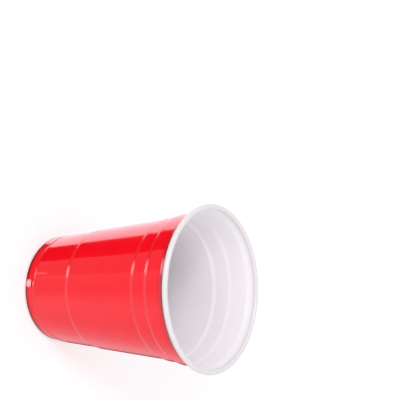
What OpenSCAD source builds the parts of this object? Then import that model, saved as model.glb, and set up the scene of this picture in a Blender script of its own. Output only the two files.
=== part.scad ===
// Plastic party cup: one sheet of plastic drawn over a stepped, tapered mould.
// The section follows a single line from the middle of the base panel, out over the
// standing ring, up the stepped wall and round the rolled lip, at one sheet thickness.

/* [Cup] */
// Outer diameter across the rolled lip
lip_d = 97; // [94:0.5:100]
// Height from the standing ring to the top of the lip
cup_h = 119; // [116:0.5:130]
// Outer diameter of the heel at the foot of the wall
heel_d = 66; // [62:0.2:68]
// Thickness of the formed sheet
sheet_t = 0.4; // [0.3:0.05:0.6]

/* [Rolled lip] */
// Outer diameter of the roll's section
curl_d = 3; // [2.4:0.1:3.4]
// Angle that the sheet is rolled through, outward and down from the neck
curl_turn = 300; // [240:5:310]

/* [Ledges in the wall] */
// Drop from the top of the lip to the middle of the neck ledge
neck_ledge_drop = 5.8; // [5.4:0.2:9]
// Radial width of the neck ledge
neck_ledge_w = 0.85; // [0.3:0.05:1.4]
// Drop from the top of the lip to the middle of the upper ledge
upper_ledge_drop = 17.8; // [14:0.2:20]
// Radial width of the upper ledge
upper_ledge_w = 0.85; // [0.3:0.05:1.4]
// Drop from the top of the lip to the middle of the second ledge
second_ledge_drop = 28.4; // [25:0.2:40]
// Radial width of the second ledge
second_ledge_w = 0.6; // [0.3:0.05:1.2]
// Height of the middle of the lower ledge above the standing ring
lower_ledge_z = 38; // [20:0.2:60]
// Radial width of the lower ledge
lower_ledge_w = 0.45; // [0.3:0.05:1.2]
// Height that each of these ledges rises through
ledge_rise = 2.4; // [1.2:0.1:2.6]
// Radius of the bends at the ledges
ledge_bend = 1; // [0.6:0.1:1.4]

/* [Heel and base] */
// Height of the middle of the stacking ledge, where a nested cup's heel comes to rest
stack_ledge_z = 7.2; // [6.6:0.2:10]
// Radial width of the stacking ledge
stack_ledge_w = 1.5; // [1.2:0.1:2]
// How far the heel leans in under the stacking ledge, so that nested cups part easily
heel_undercut = 0.3; // [0.1:0.05:0.5]
// Radius of the bend between the heel and the standing ring
heel_bend = 0.8; // [0.6:0.1:2.4]
// Width of the flat standing ring
ring_w = 3; // [2:0.5:6]
// Rise of the base panel above the standing ring
panel_rise = 3.2; // [2.6:0.2:5]
// Lean of the short wall between the ring and the panel, in degrees from upright
panel_lean = 20; // [10:1:35]
// Radius of the bends round the base panel
panel_bend = 1; // [0.6:0.1:1.2]

/* [Hidden] */

// Colour of the cup's outer face
shell_color = "crimson";

// Largest turn between neighbouring points of a bend, in degrees
bend_step = 15;

// The sheet's middle line, half a thickness inside the outer sizes
half_t = sheet_t / 2;
ring_z = half_t;
heel_r = heel_d / 2 - half_t;
ring_inner_r = heel_r - heel_bend - ring_w - panel_bend * tan((90 - panel_lean) / 2);
panel_r = ring_inner_r - panel_rise * tan(panel_lean);

// The roll: its centre, and the radius of the sheet's middle line round it
curl_r = curl_d / 2 - half_t;
curl_c = [(lip_d - curl_d) / 2, cup_h - curl_d / 2];

// The wall runs at one draft from the stacking ledge to the neck, where it turns upright beside the roll
wall_foot = [heel_r - heel_undercut + stack_ledge_w, stack_ledge_z + ledge_rise / 2];
neck = [curl_c.x - curl_r, cup_h - curl_d];
ledges = [
    [lower_ledge_z, lower_ledge_w],
    [cup_h - second_ledge_drop, second_ledge_w],
    [cup_h - upper_ledge_drop, upper_ledge_w],
    [cup_h - neck_ledge_drop, neck_ledge_w]
];
ledge_sum = ledges_below(len(ledges));
draft = (neck.x - wall_foot.x - ledge_sum) / (neck.y - wall_foot.y);

// Total width of the first n ledges, counted from the foot of the wall
function ledges_below(n) = n == 0 ? 0 : ledges_below(n - 1) + ledges[n - 1][1];

// Radius of the wall's middle line at height z, above the first n ledges
function wall_r(z, n) = wall_foot.x + draft * (z - wall_foot.y) + ledges_below(n);

// Corners of the middle line, as [radius, height, bend radius], from the axis to the start of the roll
corners = concat(
    [
        [0, ring_z + panel_rise, 0],
        [panel_r, ring_z + panel_rise, panel_bend],
        [ring_inner_r, ring_z, panel_bend],
        [heel_r, ring_z, heel_bend],
        [heel_r - heel_undercut, stack_ledge_z - ledge_rise / 2, ledge_bend],
        [wall_foot.x, wall_foot.y, ledge_bend]
    ],
    [
        for (i = [0 : len(ledges) - 1], side = [0, 1])
            let (z = ledges[i][0] + (side - 0.5) * ledge_rise)
            [wall_r(z, i + side), z, ledge_bend]
    ],
    [
        [neck.x, neck.y, ledge_bend],
        [neck.x, curl_c.y, 0]
    ]
);

// The corner's place in the section, without its bend radius
function place(corner) = [corner.x, corner.y];

// A unit vector along the direction angle a, in degrees
function heading(a) = [cos(a), sin(a)];

// The direction angle of the straight run from corner i to the next
function run_angle(i) =
    let (run = place(corners[i + 1]) - place(corners[i]))
    atan2(run.y, run.x);

// An arc of the middle line as [point, heading] pairs, where heading is the way the line runs
function arc(centre, r, from, turn) =
    let (steps = ceil(abs(turn) / bend_step))
    [
        for (k = [0 : steps])
            let (a = from + turn * k / steps)
            [centre - sign(turn) * r * heading(a + 90), a]
    ];

// The bend at corner i, tangent to the straight runs on both sides of it
function bend(i) =
    let (from = run_angle(i - 1))
    let (turn = run_angle(i) - from)
    let (r = corners[i][2])
    let (start = place(corners[i]) - r * tan(abs(turn) / 2) * heading(from))
    arc(start + sign(turn) * r * heading(from + 90), r, from, turn);

// The whole middle line: the flat base panel, every bend of the wall, then the roll
middle_line = concat(
    [[place(corners[0]), 0]],
    [for (i = [1 : len(corners) - 2]) each bend(i)],
    arc(curl_c, curl_r, 90, -curl_turn)
);

// The middle line moved sideways by d: to the cup's outer face where d is above zero, else to its inner one
function face_line(d) = [for (p = middle_line) p[0] + d * heading(p[1] - 90)];

// Points of a line in the opposite order
function reversed(line) = [for (i = [len(line) - 1 : -1 : 0]) line[i]];

// The cup, turned from the section of its sheet
module cup() {
    color(shell_color)
        rotate_extrude($fn = 180)
            polygon(concat(face_line(half_t), reversed(face_line(-half_t))));
}

cup();
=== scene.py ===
# A glossy red party cup, white inside, on a pale studio floor.
import math

import bpy
from mathutils import Matrix, Vector


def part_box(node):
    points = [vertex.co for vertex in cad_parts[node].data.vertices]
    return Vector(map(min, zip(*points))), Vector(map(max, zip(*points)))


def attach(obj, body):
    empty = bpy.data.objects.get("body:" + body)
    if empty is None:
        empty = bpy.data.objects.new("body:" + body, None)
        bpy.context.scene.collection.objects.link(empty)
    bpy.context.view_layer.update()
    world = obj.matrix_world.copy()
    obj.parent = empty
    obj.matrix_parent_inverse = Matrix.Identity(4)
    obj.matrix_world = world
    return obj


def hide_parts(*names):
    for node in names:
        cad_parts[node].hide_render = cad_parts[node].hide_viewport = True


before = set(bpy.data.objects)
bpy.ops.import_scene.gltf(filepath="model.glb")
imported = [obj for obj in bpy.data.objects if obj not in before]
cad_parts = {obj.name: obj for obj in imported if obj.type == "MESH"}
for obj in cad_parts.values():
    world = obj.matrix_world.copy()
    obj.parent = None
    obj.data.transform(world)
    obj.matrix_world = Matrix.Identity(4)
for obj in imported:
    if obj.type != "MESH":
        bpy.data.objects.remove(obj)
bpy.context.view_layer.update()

MM = 0.001

# Sizes of the cup's sheet, in metres and degrees
_, lip_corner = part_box("cup")
CUP_H = lip_corner.z
LIP_D = 2 * lip_corner.x
HEEL_D = 66 * MM
SHEET_T = 0.4 * MM
HALF_T = SHEET_T / 2
CURL_D = 3 * MM
CURL_TURN = 300
LEDGE_RISE = 2.4 * MM
LEDGE_BEND = 1 * MM
STACK_LEDGE_Z = 7.2 * MM
STACK_LEDGE_W = 1.5 * MM
HEEL_UNDERCUT = 0.3 * MM
HEEL_BEND = 0.8 * MM
RING_W = 3 * MM
PANEL_RISE = 3.2 * MM
PANEL_LEAN = 20
PANEL_BEND = 1 * MM

# Ledges of the wall from the lowest one up, as height of the middle and radial width
LEDGES = [
    (38 * MM, 0.45 * MM),
    (CUP_H - 28.4 * MM, 0.6 * MM),
    (CUP_H - 17.8 * MM, 0.85 * MM),
    (CUP_H - 5.8 * MM, 0.85 * MM),
]
TOP_LEDGES = LEDGES[2:]

# Which corner of the sheet's middle line is the wall's foot
FOOT = 5

# Fineness of the turned mesh: sides round the axis, degrees a step in a bend, how far the extra points
# stand from a bend, and the radius under which a ring of points is one point on the axis
SIDES = 240
BEND_STEP = 8
SUPPORT = 0.25 * MM
AXIS_R = 0.025 * MM

# The plastic: the darker and the lighter end of each colour's clouds, and the dimmer white of the
# painted shade over the roll and the top ledges inside
PLASTIC_IOR = 1.5
BUMP_DEPTH = 0.1 * MM
RED_DARK = (0.94, 0.003, 0.0105, 1)
RED_LIGHT = (0.98, 0.005, 0.0145, 1)
WHITE_DARK = (0.882, 0.849, 0.881, 1)
WHITE_LIGHT = (0.922, 0.889, 0.921, 1)
WHITE_PAINTED_SHADE = (0.735, 0.7, 0.72, 1)

# How much painted shade dims the white, from 0 to 1: across the two top ledges by the share of a
# ledge's rise from its middle, and over the roll by the share of the roll's height from the top down
LEDGE_PAINTED_SHADE = [(-0.6, 0), (-0.4, 0.35), (0.4, 0.35), (0.6, 0)]
ROLL_PAINTED_SHADE = [(1.1, 0), (0.6, 1)]

# The camera stands where the photograph was taken from, turned so that the cup's axis runs to the right
PICTURE_PX = 400
FOCAL_PX = 867.51
SENSOR = 36
CLIP_START = 0.01
CAMERA_AT = Vector((0, -0.41576, 0.391))
CAMERA_AIM = Vector((-0.10178, 0.82211, -0.56016))
CAMERA_UP = Vector((-0.99485, -0.08594, 0.05381))

# The floor, with the glow that it shows to the camera and to gloss
FLOOR_REACH = 4
FLOOR_COLOR = (0.55, 0.546, 0.556, 1)
FLOOR_TINT = (1, 0.99, 1, 1)
FLOOR_GLOW = 0.5

# Cards on the floor: their height, tint, degrees a step and rows, and how far up the wall they serve
CARD_Z = 0.2 * MM
CARD_TINT = (1, 0.95, 1.05, 1)
CARD_STEP = 2
CARD_ROWS = 12
CARD_TOP = 1.1 * CUP_H

# The level of light that the wall shows, by the angle round the cup from its far side. Two angles that
# are closer than SHARP make a sharp edge, with no card between them
SHARP = 1
BANDS = [
    (4, 1.2), (43, 2.5),
    (43.5, 0), (62.5, 0),
    (63, 0.5), (78, 0.52),
    (78.5, 0.82), (91, 0.7), (104, 1.2), (122, 0.9), (148, 1), (158, 0.7), (163, 0.05), (176, 0),
]

# The same below the wall's foot, round the heel
HEEL_BANDS = [(4, 2), (32, 2.5), (32.5, 0.1), (74, 0.3), (90, 1.1), (150, 1.2), (176, 0.2)]

# The same in the slopes of the ledges, from strips of light just under them, with a gain for each:
# the stacking ledge first, then the wall's ledges from the lowest one up
RING_BANDS = [
    (4, 1.2), (43, 0.8), (50, 0.1), (67, 0.2), (73, 2.6), (77, 2.6),
    (81, 0.85), (110, 0.85), (145, 0.65), (176, 0.3),
]
RING_GAINS = (1.1, 1.25, 1.15, 1, 1)
RING_DROP = 0.3 * MM
RING_REACH = (0.05 * MM, 1.8 * MM)

# A thin strip that shows above the wall's foot, laid over the other cards
STREAK = [(74, 1.6), (76.2, 1.6)]
STREAK_TOP = 19 * MM
STREAK_LIFT = 2

# A small bright card beside the heel, and the dark lid that keeps its light out of the wall
SPOT_ANGLES = (80, 89)
SPOT_LEVELS = (3, 11, 12, 11, 3)
SPOT_AWAY = 1 * MM
SPOT_TOP = 3.6 * MM
LID_Z = 4.6 * MM
LID_REACH = 2 * MM

# Black flags that keep the room's light off the base's edge and out of the groove under the lip, as
# how far they stand off the heel or the wall, and their lowest and highest points
HEEL_FLAG = (0.35 * MM, CARD_Z, 2.4 * MM)
NECK_FLAG = (1.2 * MM, CUP_H - 6.6 * MM, CUP_H - 4.6 * MM)

# The room's light at eye level and overhead, a key softbox behind the camera and a weak one to the side
WALL_LIGHT = 1.18
CEILING_LIGHT = 0.66
KEY_AT = (-0.48, -0.8, 0.83)
KEY_POWER = 4.8
FILL_AT = (0.9, -0.45, 0.68)
FILL_POWER = 1.7
SOFTBOX = 0.35


def heading(degrees):
    """Unit vector in the section's plane, as radius and height."""
    return Vector((math.cos(math.radians(degrees)), math.sin(math.radians(degrees))))


def arc(centre, radius, start, turn):
    """Points of the sheet's middle line on an arc, each with the direction that the line runs there."""
    steps = math.ceil(abs(turn) / BEND_STEP)
    side = math.copysign(1, turn)
    angles = [start + turn * k / steps for k in range(steps + 1)]
    return [(centre - side * radius * heading(a + 90), a) for a in angles]


def wall_corners():
    """Corners of the middle line as (place, bend radius), and the roll's centre and radius."""
    heel_r = HEEL_D / 2 - HALF_T
    ring_r = heel_r - HEEL_BEND - RING_W - PANEL_BEND * math.tan(math.radians(90 - PANEL_LEAN) / 2)
    panel_r = ring_r - PANEL_RISE * math.tan(math.radians(PANEL_LEAN))
    foot = Vector((heel_r - HEEL_UNDERCUT + STACK_LEDGE_W, STACK_LEDGE_Z + LEDGE_RISE / 2))
    curl_r = CURL_D / 2 - HALF_T
    curl_c = Vector(((LIP_D - CURL_D) / 2, CUP_H - CURL_D / 2))
    neck = Vector((curl_c.x - curl_r, CUP_H - CURL_D))
    draft = (neck.x - foot.x - sum(width for _, width in LEDGES)) / (neck.y - foot.y)
    corners = [
        (Vector((0, HALF_T + PANEL_RISE)), 0),
        (Vector((panel_r, HALF_T + PANEL_RISE)), PANEL_BEND),
        (Vector((ring_r, HALF_T)), PANEL_BEND),
        (Vector((heel_r, HALF_T)), HEEL_BEND),
        (Vector((heel_r - HEEL_UNDERCUT, STACK_LEDGE_Z - LEDGE_RISE / 2)), LEDGE_BEND),
        (foot, LEDGE_BEND),
    ]
    passed = 0
    for middle, width in LEDGES:
        for z, step in ((middle - LEDGE_RISE / 2, 0), (middle + LEDGE_RISE / 2, width)):
            passed += step
            corners.append((Vector((foot.x + draft * (z - foot.y) + passed, z)), LEDGE_BEND))
    corners += [(neck, LEDGE_BEND), (Vector((neck.x, curl_c.y)), 0)]
    return corners, curl_c, curl_r


def middle_line():
    """The sheet's whole middle line, as points and directions, with extra points beside each bend."""
    corners, curl_c, curl_r = wall_corners()
    runs = [b[0] - a[0] for a, b in zip(corners, corners[1:])]
    angles = [math.degrees(math.atan2(run.y, run.x)) for run in runs]
    line = [(corners[0][0], angles[0])]
    for i, (place, radius) in enumerate(corners[1:-1]):
        turn = angles[i + 1] - angles[i]
        start = place - radius * math.tan(math.radians(abs(turn)) / 2) * heading(angles[i])
        centre = start + math.copysign(radius, turn) * heading(angles[i] + 90)
        bend = arc(centre, radius, angles[i], turn)
        line.append((bend[0][0] - SUPPORT * heading(angles[i]), angles[i]))
        line += bend
        line.append((bend[-1][0] + SUPPORT * heading(angles[i + 1]), angles[i + 1]))
    return line + arc(curl_c, curl_r, 90, -CURL_TURN)


def sheet_face(offset):
    """The middle line moved to one face of the sheet: the outer one where offset is above zero."""
    return [place + offset * heading(angle - 90) for place, angle in middle_line()]


def turned_cup(name, outer, inner, materials):
    """The closed section turned about Z, with the first material outside and the second inside."""
    verts, rings = [], []
    for r, z in outer + inner[::-1]:
        if r < AXIS_R:
            rings.append([len(verts)] * SIDES)
            verts.append((0, 0, z))
            continue
        rings.append(list(range(len(verts), len(verts) + SIDES)))
        for k in range(SIDES):
            turn = 2 * math.pi * k / SIDES
            verts.append((r * math.cos(turn), r * math.sin(turn), z))
    faces, slots = [], []
    for i, (a, b) in enumerate(zip(rings, rings[1:])):
        for k in range(SIDES):
            n = (k + 1) % SIDES
            # At the axis two of the corners are one point, which is kept once
            faces.append(tuple(dict.fromkeys((a[k], a[n], b[n], b[k]))))
            slots.append(0 if i < len(outer) - 1 else 1)
    mesh = bpy.data.meshes.new(name)
    mesh.from_pydata(verts, [], faces)
    for material in materials:
        mesh.materials.append(material)
    mesh.polygons.foreach_set("material_index", slots)
    mesh.polygons.foreach_set("use_smooth", [True] * len(faces))
    mesh.update()
    piece = bpy.data.objects.new(name, mesh)
    bpy.context.collection.objects.link(piece)
    return piece


def new_material(name):
    """A new material, with its nodes, its links and its Principled shader."""
    material = bpy.data.materials.new(name)
    material.use_nodes = True
    nodes = material.node_tree.nodes
    return material, nodes, material.node_tree.links, nodes["Principled BSDF"]


def noise(nodes, links, place, scale, detail):
    """A cloudy pattern over the places that it is given."""
    cloud = nodes.new("ShaderNodeTexNoise")
    cloud.inputs["Scale"].default_value = scale
    cloud.inputs["Detail"].default_value = detail
    links.new(place, cloud.inputs["Vector"])
    return cloud.outputs["Fac"]


def ramp(nodes, links, pattern, stops):
    """Colours that follow a pattern, by rising stops of (level, colour)."""
    shade = nodes.new("ShaderNodeValToRGB")
    elements = shade.color_ramp.elements
    for element, (level, color) in zip(elements, (stops[0], stops[-1])):
        element.position = level
        element.color = color
    for level, color in stops[1:-1]:
        elements.new(level).color = color
    links.new(pattern, shade.inputs["Fac"])
    return shade.outputs["Color"]


def rough(nodes, links, shader, pattern, low, high):
    """Roughness that follows a pattern between two levels."""
    spread = nodes.new("ShaderNodeMapRange")
    spread.inputs["To Min"].default_value = low
    spread.inputs["To Max"].default_value = high
    links.new(pattern, spread.inputs["Value"])
    links.new(spread.outputs["Result"], shader.inputs["Roughness"])


def bumpy(nodes, links, shader, pattern, strength):
    """Slight bumps that follow a pattern."""
    bump = nodes.new("ShaderNodeBump")
    bump.inputs["Strength"].default_value = strength
    bump.inputs["Distance"].default_value = BUMP_DEPTH
    links.new(pattern, bump.inputs["Height"])
    links.new(bump.outputs["Normal"], shader.inputs["Normal"])


def red_plastic():
    """High-gloss red: pigment a little uneven, with the faint draw marks of a formed sheet."""
    material, nodes, links, shader = new_material("red_gloss")
    shader.inputs["IOR"].default_value = PLASTIC_IOR
    place = nodes.new("ShaderNodeTexCoord").outputs["Object"]
    cloud = noise(nodes, links, place, scale=45, detail=3)
    shade = ramp(nodes, links, cloud, [(0.3, RED_DARK), (0.7, RED_LIGHT)])
    links.new(shade, shader.inputs["Base Color"])
    stretch = nodes.new("ShaderNodeMapping")
    stretch.inputs["Scale"].default_value = (1, 1, 0.12)
    links.new(place, stretch.inputs["Vector"])
    marks = noise(nodes, links, stretch.outputs["Vector"], scale=220, detail=2)
    rough(nodes, links, shader, marks, low=0.11, high=0.15)
    bumpy(nodes, links, shader, marks, strength=0.05)
    return material


def painted_shade_amount(nodes, links, place):
    """How much painted shade dims the white, by the height up the cup."""
    split = nodes.new("ShaderNodeSeparateXYZ")
    links.new(place, split.inputs["Vector"])
    height = nodes.new("ShaderNodeMath")
    height.operation = "DIVIDE"
    height.inputs[1].default_value = CUP_H
    links.new(split.outputs["Z"], height.inputs[0])
    amounts = [(0, 0)]
    # Painted shade: darker white across the slopes of the two top ledges and over the roll
    for middle, _ in TOP_LEDGES:
        amounts += [((middle + LEDGE_RISE * share) / CUP_H, amount) for share, amount in LEDGE_PAINTED_SHADE]
    amounts += [(1 - share * CURL_D / CUP_H, amount) for share, amount in ROLL_PAINTED_SHADE]
    stops = [(level, (amount, amount, amount, 1)) for level, amount in amounts]
    return ramp(nodes, links, height.outputs["Value"], stops)


def white_plastic():
    """The white inner face: satin, a little uneven, with painted shade that dims it over the roll and
    across the two top ledges.
    """
    material, nodes, links, shader = new_material("white_satin")
    shader.inputs["IOR"].default_value = PLASTIC_IOR
    place = nodes.new("ShaderNodeTexCoord").outputs["Object"]
    cloud = noise(nodes, links, place, scale=60, detail=4)
    # Painted shade: the white is mixed towards a dimmer white over the roll and the top ledges
    blend = nodes.new("ShaderNodeMixRGB")
    blend.inputs["Color2"].default_value = WHITE_PAINTED_SHADE
    links.new(painted_shade_amount(nodes, links, place), blend.inputs["Fac"])
    links.new(ramp(nodes, links, cloud, [(0, WHITE_DARK), (1, WHITE_LIGHT)]), blend.inputs["Color1"])
    links.new(blend.outputs["Color"], shader.inputs["Base Color"])
    rough(nodes, links, shader, cloud, low=0.3, high=0.4)
    bumpy(nodes, links, shader, cloud, strength=0.04)
    return material


def flat_mesh(name, verts, faces, material):
    """A stage mesh, which isn't part of the cup."""
    mesh = bpy.data.meshes.new(name)
    mesh.from_pydata(verts, [], faces)
    mesh.materials.append(material)
    flat = bpy.data.objects.new(name, mesh)
    bpy.context.collection.objects.link(flat)
    return flat


def pale_floor():
    """A wide white floor that keeps the cup's shadow, with a little glow to the camera and to gloss."""
    material, nodes, links, shader = new_material("floor_white")
    shader.inputs["Base Color"].default_value = FLOOR_COLOR
    shader.inputs["Roughness"].default_value = 0.9
    shader.inputs["Emission Color"].default_value = FLOOR_TINT
    path = nodes.new("ShaderNodeLightPath")
    seen = path.outputs["Is Camera Ray"]
    for ray in ("Is Glossy Ray", "Is Transmission Ray"):
        either = nodes.new("ShaderNodeMath")
        either.operation = "ADD"
        links.new(seen, either.inputs[0])
        links.new(path.outputs[ray], either.inputs[1])
        seen = either.outputs["Value"]
    glow = nodes.new("ShaderNodeMath")
    glow.operation = "MULTIPLY"
    glow.inputs[1].default_value = FLOOR_GLOW
    links.new(seen, glow.inputs[0])
    links.new(glow.outputs["Value"], shader.inputs["Emission Strength"])
    w = FLOOR_REACH
    flat_mesh("floor", [(-w, -w, 0), (w, -w, 0), (w, w, 0), (-w, w, 0)], [(0, 1, 2, 3)], material)


def around(angle, radius, height):
    """A point at an angle round the cup from its far side, a distance from its axis and a height."""
    turn = math.radians(angle)
    return Vector((-radius * math.cos(turn), -radius * math.sin(turn), height))


def wall_lean(corners):
    """The angle that the wall leans out by between its ledges."""
    foot, top = corners[FOOT][0], corners[FOOT + 1][0]
    return math.atan2(top.x - foot.x, top.y - foot.y)


def wall_radius(height, corners):
    """The radius of the wall's outer face at a height."""
    foot = corners[FOOT][0]
    passed = sum(width for middle, width in LEDGES if middle < height)
    return foot.x + HALF_T + math.tan(wall_lean(corners)) * (height - foot.y) + passed


def mirrored(angle, height, corners):
    """The floor point that the camera sees in the wall, at an angle round the cup and a height."""
    lean = wall_lean(corners)
    place = around(angle, wall_radius(height, corners), height)
    normal = around(angle, math.cos(lean), -math.sin(lean))
    ray = (place - CAMERA_AT).normalized().reflect(normal)
    return place - ray * (place.z / ray.z)


def glow_material(name):
    """Plain light whose level is painted along the card."""
    material = bpy.data.materials.new(name)
    material.use_nodes = True
    nodes, links = material.node_tree.nodes, material.node_tree.links
    nodes.clear()
    level = nodes.new("ShaderNodeAttribute")
    level.attribute_name = "level"
    glow = nodes.new("ShaderNodeEmission")
    glow.inputs["Color"].default_value = CARD_TINT
    out = nodes.new("ShaderNodeOutputMaterial")
    links.new(level.outputs["Fac"], glow.inputs["Strength"])
    links.new(glow.outputs["Emission"], out.inputs["Surface"])
    return material


def show_only(flat, diffuse=False, glossy=False):
    """Let a stage mesh be met by soft light or by gloss alone."""
    flat.visible_camera = False
    flat.visible_diffuse = diffuse
    flat.visible_glossy = glossy
    flat.visible_shadow = False
    flat.visible_transmission = False


def card(name, rows, levels, material):
    """A card made of rows of points, each row with its level of light, seen only in gloss."""
    across = len(rows[0])
    verts = [point for row in rows for point in row]
    faces = []
    for i in range(len(rows) - 1):
        for k in range(across - 1):
            at = i * across + k
            faces.append((at, at + 1, at + across + 1, at + across))
    flat = flat_mesh(name, verts, faces, material)
    paint = flat.data.attributes.new("level", "FLOAT", "POINT")
    paint.data.foreach_set("value", [level for level in levels for _ in range(across)])
    show_only(flat, glossy=True)


def shares(a, b):
    """Even shares of the way from one angle to another, about a card's step apart."""
    count = max(2, round((b - a) / CARD_STEP))
    return [k / count for k in range(count + 1)]


def band_cards(name, bands, low, high, corners, material, lift=1):
    """Cards for the bands that the wall shows between two heights, laid lift times CARD_Z up."""
    heights = [low + (high - low) * k / CARD_ROWS for k in range(CARD_ROWS + 1)]
    up = Vector((0, 0, CARD_Z * lift))
    for (a, start), (b, end) in zip(bands, bands[1:]):
        if b - a < SHARP:
            continue
        rows = [[mirrored(a + (b - a) * t, z, corners) + up for z in heights] for t in shares(a, b)]
        levels = [start + (end - start) * t for t in shares(a, b)]
        card("%s_%d" % (name, a), rows, levels, material)


def ring_cards(corners, material):
    """Strips just under the ledges, for the glints and the faint lines that their slopes show."""
    heights = [STACK_LEDGE_Z] + [middle - LEDGE_RISE / 2 - RING_DROP for middle, _ in LEDGES]
    for i, (z, gain) in enumerate(zip(heights, RING_GAINS)):
        reach = [wall_radius(z, corners) + r for r in RING_REACH]
        rows, levels = [], []
        for (a, start), (b, end) in zip(RING_BANDS, RING_BANDS[1:]):
            for t in shares(a, b)[:-1]:
                rows.append([around(a + (b - a) * t, r, z) for r in reach])
                levels.append(gain * (start + (end - start) * t))
        card("ring_card_%d" % i, rows, levels, material)


def spot_cards(material):
    """The bright card that stands beside the heel, and its dark lid."""
    first, last = SPOT_ANGLES
    steps = len(SPOT_LEVELS) - 1
    turns = [first + (last - first) * k / steps for k in range(steps + 1)]
    rows = [[around(t, HEEL_D / 2 + SPOT_AWAY, z) for z in (CARD_Z, SPOT_TOP)] for t in turns]
    card("spot_card", rows, SPOT_LEVELS, material)
    rows = [[around(t, HEEL_D / 2 + r, LID_Z) for r in (0, LID_REACH)] for t in turns]
    card("spot_lid", rows, [0] * len(rows), material)


def studio_cards(corners):
    """All the cards whose light the cup's glossy face shows."""
    foot_z = corners[FOOT][0].y
    material = glow_material("card_light")
    band_cards("wall_card", BANDS, foot_z, CARD_TOP, corners, material)
    band_cards("heel_card", HEEL_BANDS, 0, foot_z, corners, material)
    band_cards("streak_card", STREAK, foot_z, STREAK_TOP, corners, material, STREAK_LIFT)
    ring_cards(corners, material)
    spot_cards(material)


def flag_black():
    """Matt black that is clear from outside the ring, so that the floor stays as bright beside it."""
    material, nodes, links, shader = new_material("flag_black")
    shader.inputs["Base Color"].default_value = (0, 0, 0, 1)
    shader.inputs["Specular IOR Level"].default_value = 0
    side = nodes.new("ShaderNodeNewGeometry")
    clear = nodes.new("ShaderNodeBsdfTransparent")
    mix = nodes.new("ShaderNodeMixShader")
    links.new(side.outputs["Backfacing"], mix.inputs["Fac"])
    links.new(shader.outputs["BSDF"], mix.inputs[1])
    links.new(clear.outputs["BSDF"], mix.inputs[2])
    links.new(mix.outputs["Shader"], nodes["Material Output"].inputs["Surface"])
    return material


def flag(name, radius, low, high, material):
    """A black ring standing round the cup, which faces it and takes only soft light from it."""
    verts = [around(360 * k / SIDES, radius, z) for z in (low, high) for k in range(SIDES)]
    faces = [(k, k + SIDES, (k + 1) % SIDES + SIDES, (k + 1) % SIDES) for k in range(SIDES)]
    show_only(flat_mesh(name, verts, faces, material), diffuse=True)


def studio_flags(corners):
    """The flags round the base's edge and round the groove under the lip."""
    material = flag_black()
    away, low, high = HEEL_FLAG
    flag("heel_flag", HEEL_D / 2 + away, low, high, material)
    away, low, high = NECK_FLAG
    flag("neck_flag", wall_radius(high, corners) + away, low, high, material)


def softbox(name, at, power):
    """A square area light that faces the middle of the cup."""
    data = bpy.data.lights.new(name, "AREA")
    data.size = SOFTBOX
    data.energy = power
    lamp = bpy.data.objects.new(name, data)
    lamp.location = at
    lamp.rotation_mode = "QUATERNION"
    lamp.rotation_quaternion = (Vector((0, 0, CUP_H / 2)) - Vector(at)).to_track_quat("-Z", "Y")
    bpy.context.collection.objects.link(lamp)


def studio():
    """A soft room, brighter round its walls than overhead, and the two softboxes."""
    world = bpy.data.worlds.new("studio")
    bpy.context.scene.world = world
    world.use_nodes = True
    nodes, links = world.node_tree.nodes, world.node_tree.links
    place = nodes.new("ShaderNodeTexCoord")
    split = nodes.new("ShaderNodeSeparateXYZ")
    level = nodes.new("ShaderNodeMapRange")
    level.inputs["To Min"].default_value = WALL_LIGHT
    level.inputs["To Max"].default_value = CEILING_LIGHT
    links.new(place.outputs["Generated"], split.inputs["Vector"])
    links.new(split.outputs["Z"], level.inputs["Value"])
    links.new(level.outputs["Result"], nodes["Background"].inputs["Strength"])
    nodes["Background"].inputs["Color"].default_value = (1, 1, 1, 1)
    softbox("key", KEY_AT, KEY_POWER)
    softbox("fill", FILL_AT, FILL_POWER)


def camera():
    """The photograph's camera, from its place, where it aims and which way is up."""
    data = bpy.data.cameras.new("camera")
    data.sensor_width = SENSOR
    data.lens = FOCAL_PX / PICTURE_PX * SENSOR
    data.clip_start = CLIP_START
    right = CAMERA_AIM.cross(CAMERA_UP).normalized()
    up = right.cross(CAMERA_AIM).normalized()
    turn = Matrix((right, up, -CAMERA_AIM.normalized())).transposed()
    eye = bpy.data.objects.new("camera", data)
    eye.matrix_world = Matrix.Translation(CAMERA_AT) @ turn.to_4x4()
    bpy.context.collection.objects.link(eye)
    bpy.context.scene.camera = eye


bpy.context.scene.view_settings.view_transform = "Standard"
camera()
pale_floor()
studio()
wall = wall_corners()[0]
studio_cards(wall)
studio_flags(wall)
cup = turned_cup("party_cup", sheet_face(HALF_T), sheet_face(-HALF_T), (red_plastic(), white_plastic()))
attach(cup, "root")
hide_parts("cup")
